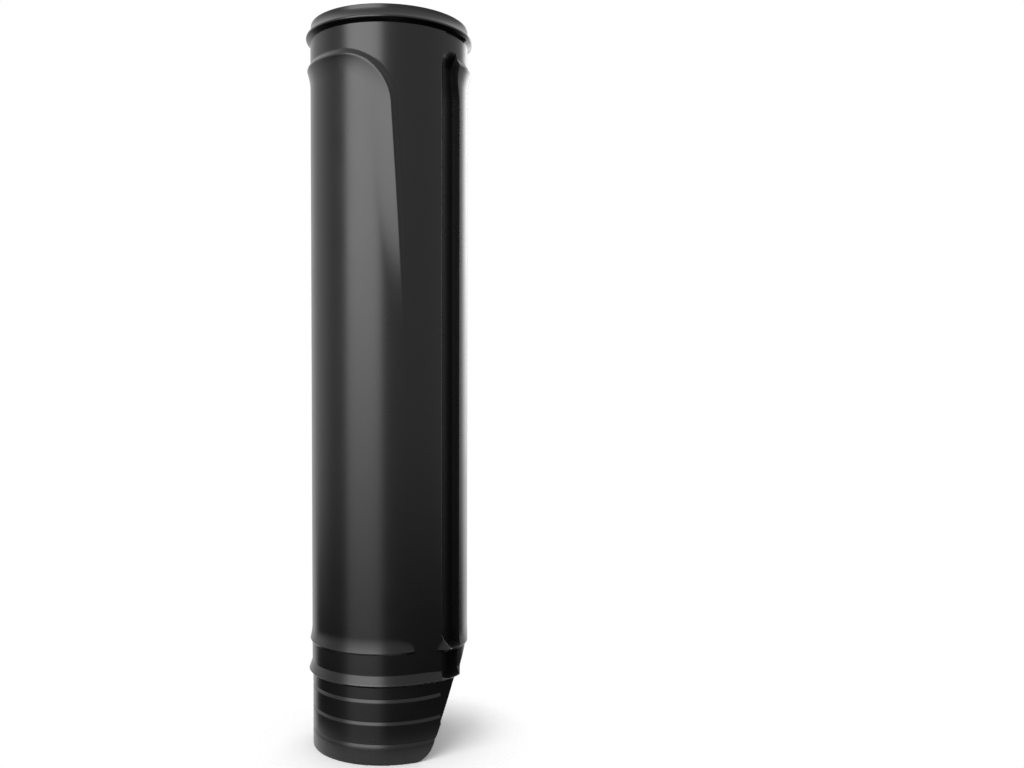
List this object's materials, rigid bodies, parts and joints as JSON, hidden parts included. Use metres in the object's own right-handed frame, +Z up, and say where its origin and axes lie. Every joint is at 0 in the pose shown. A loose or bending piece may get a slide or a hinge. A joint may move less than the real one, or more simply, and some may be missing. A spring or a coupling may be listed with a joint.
{
  "type": "shock absorber cover",
  "caption": "Black plastic tube cover for the upper leg of a motorbike fork, with a beaded rim, a panel lip with an arched front, a sunk side flute and a slanted, grooved lower end.",
  "frame": {"origin": "on the tube's axis, at the level of the bottom rim", "axes": "+Z up along the tube's axis, towards the beaded rim; -Y is the front with the arched edge of the panel; +X is the side with the flute and the slanted end cut"},
  "size_m": [0.0696, 0.0696, 0.2995],
  "materials": {
    "black_plastic": "satin, fine moulded grain"
  },
  "bodies": {
    "root": {"cover": "black_plastic"}
  },
  "joints": []
}
